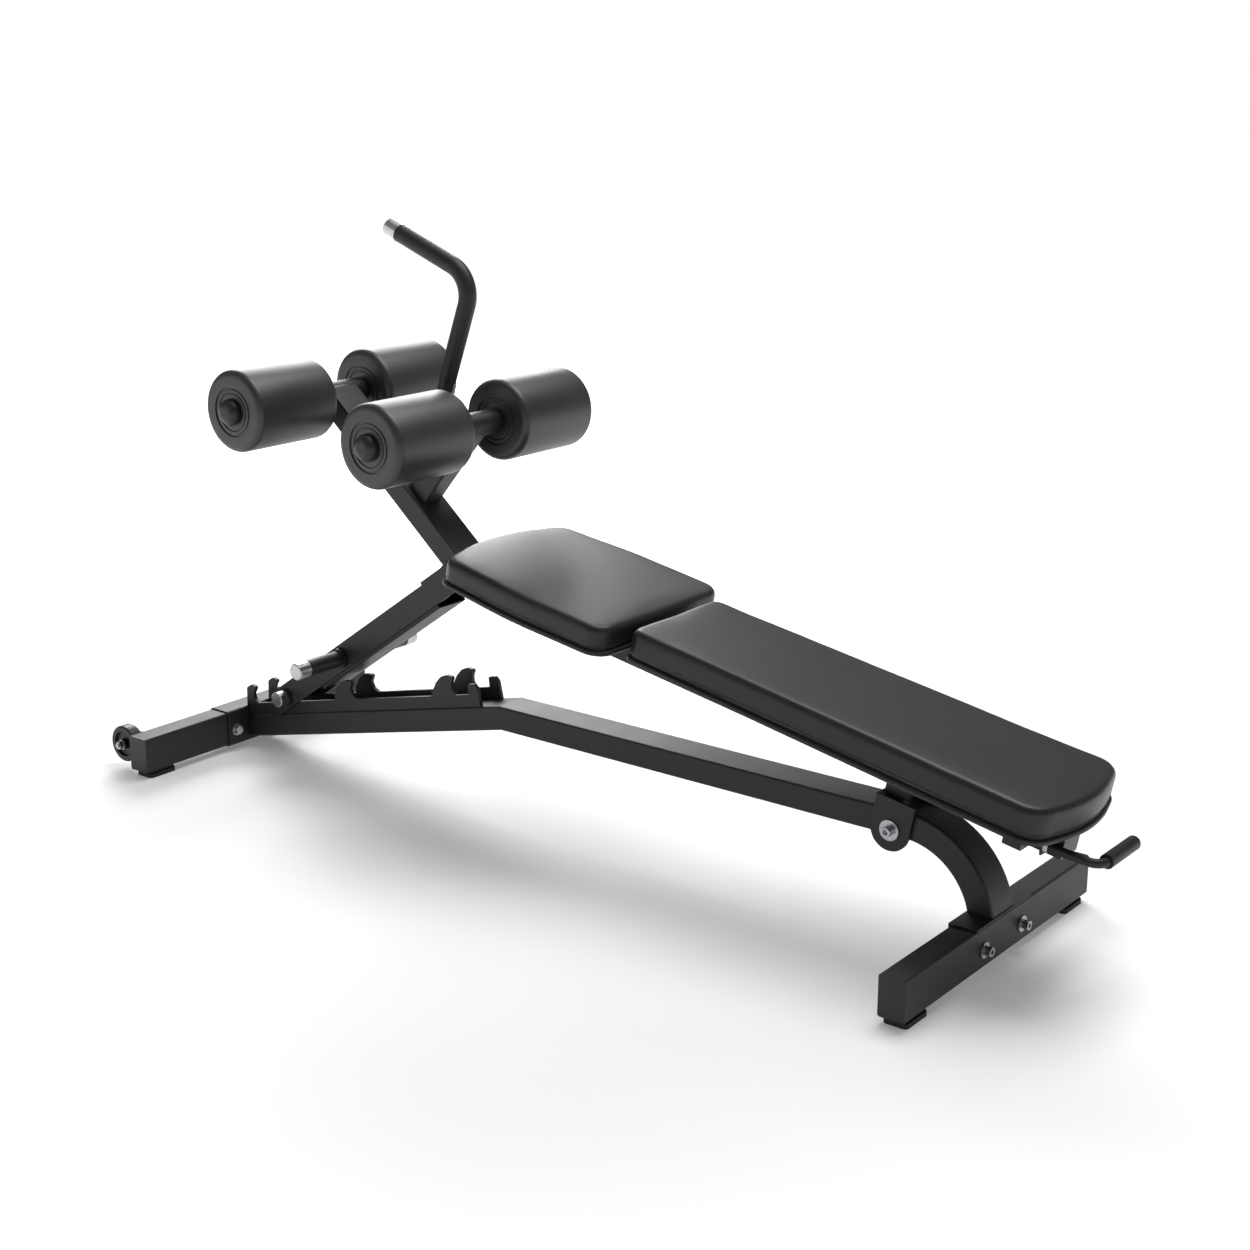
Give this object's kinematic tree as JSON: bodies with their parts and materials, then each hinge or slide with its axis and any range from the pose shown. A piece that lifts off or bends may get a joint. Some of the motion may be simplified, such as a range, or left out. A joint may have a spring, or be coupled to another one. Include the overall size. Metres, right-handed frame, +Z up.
{
  "type": "decline sit-up bench",
  "caption": "Decline sit-up bench: padded seat and back on a tilting frame, foam leg rollers, a hand hold and a hinged support leg that locks in notched plates on the base rail.",
  "frame": {"origin": "centre of the footprint of the whole bench, on the floor", "axes": "+X towards the head end, -X towards the foot rollers, Y across the bench, +Z up"},
  "size_m": [2.2104, 0.66, 1.1942],
  "materials": {
    "black_coat": "fine textured satin powder coat",
    "vinyl": "soft grained sheen",
    "roller_skin": "smooth satin",
    "plastic": "matte",
    "grip_rubber": "matte",
    "pad_rubber": "matte",
    "zinc": "bright plated",
    "silver_cap": "machined",
    "board": "raw plywood"
  },
  "bodies": {
    "base": {"front_foot_tube": "black_coat", "rear_foot_tube": "black_coat", "foot_end_caps": "plastic", "foot_pads": "pad_rubber", "front_collar": "black_coat", "rear_saddle": "black_coat", "collar_bolts": "zinc", "rear_foot_bolts": "zinc", "foot_bolt_nuts": "zinc", "main_rail": "black_coat", "rear_leg_curve": "black_coat", "pivot_bush": "zinc", "notch_plates": "black_coat", "wheel_brackets": "black_coat", "wheel_bolts": "zinc", "wheel_nuts": "zinc"},
    "pad_frame": {"pad_frame_tube": "black_coat", "frame_end_cap": "plastic", "roller_post": "black_coat", "roller_branch": "black_coat", "front_axle": "black_coat", "rear_axle": "black_coat", "axle_caps": "plastic", "hand_hold_tube": "black_coat", "hand_hold_grip": "grip_rubber", "hand_hold_cap": "silver_cap", "hinge_bracket": "black_coat", "hinge_pin": "black_coat", "pivot_clevis": "black_coat", "pivot_bolt": "zinc", "pivot_washers": "zinc", "pivot_nut": "zinc", "pad_straps": "black_coat", "seat_pad": "vinyl", "back_pad": "vinyl", "seat_board": "board", "back_board": "board", "pad_bolts": "zinc", "rear_stop_stubs": "black_coat", "lift_handle_rod": "black_coat", "lift_handle_nut": "zinc", "lift_handle_grip": "grip_rubber"},
    "support_leg": {"leg_tube": "black_coat", "leg_plates": "black_coat", "leg_hinge_tube": "black_coat", "lock_pin": "black_coat", "lock_pin_caps": "silver_cap", "cross_handle_bar": "black_coat", "cross_handle_grips": "grip_rubber", "cross_handle_caps": "silver_cap"},
    "left_wheel": {"wheel_left": "plastic"},
    "right_wheel": {"wheel_right": "plastic"},
    "front_left_roller": {"front_roller_left_foam": "roller_skin", "front_roller_left_core": "plastic"},
    "front_right_roller": {"front_roller_right_foam": "roller_skin", "front_roller_right_core": "plastic"},
    "rear_left_roller": {"rear_roller_left_foam": "roller_skin", "rear_roller_left_core": "plastic"},
    "rear_right_roller": {"rear_roller_right_foam": "roller_skin", "rear_roller_right_core": "plastic"}
  },
  "joints": [
    {"name": "frame_tilt", "type": "hinge", "parent": "base", "child": "pad_frame", "pos_m": [0.7003, 0, 0.209], "axis": [0, 1, 0], "range_deg": [0, 21]},
    {"name": "leg_swing", "type": "hinge", "parent": "pad_frame", "child": "support_leg", "pos_m": [-0.3567, 0, 0.47374], "axis": [0, -1, 0], "range_deg": [0, 46.2]},
    {"name": "front_left_roller_spin", "type": "hinge", "parent": "pad_frame", "child": "front_left_roller", "pos_m": [-0.6808, -0.1785, 0.8274], "axis": [0, 1, 0], "continuous": true},
    {"name": "front_right_roller_spin", "type": "hinge", "parent": "pad_frame", "child": "front_right_roller", "pos_m": [-0.6808, 0.1785, 0.8274], "axis": [0, 1, 0], "continuous": true},
    {"name": "rear_left_roller_spin", "type": "hinge", "parent": "pad_frame", "child": "rear_left_roller", "pos_m": [-0.3053, -0.1785, 0.8015], "axis": [0, 1, 0], "continuous": true},
    {"name": "rear_right_roller_spin", "type": "hinge", "parent": "pad_frame", "child": "rear_right_roller", "pos_m": [-0.3053, 0.1785, 0.8015], "axis": [0, 1, 0], "continuous": true},
    {"name": "left_wheel_spin", "type": "hinge", "parent": "base", "child": "left_wheel", "pos_m": [-1.0652, -0.299, 0.057], "axis": [0, 1, 0], "continuous": true},
    {"name": "right_wheel_spin", "type": "hinge", "parent": "base", "child": "right_wheel", "pos_m": [-1.0652, 0.299, 0.057], "axis": [0, 1, 0], "continuous": true}
  ],
  "couplings": [
    {"joint": "leg_swing", "follows": "frame_tilt", "ratio": 2.2}
  ]
}
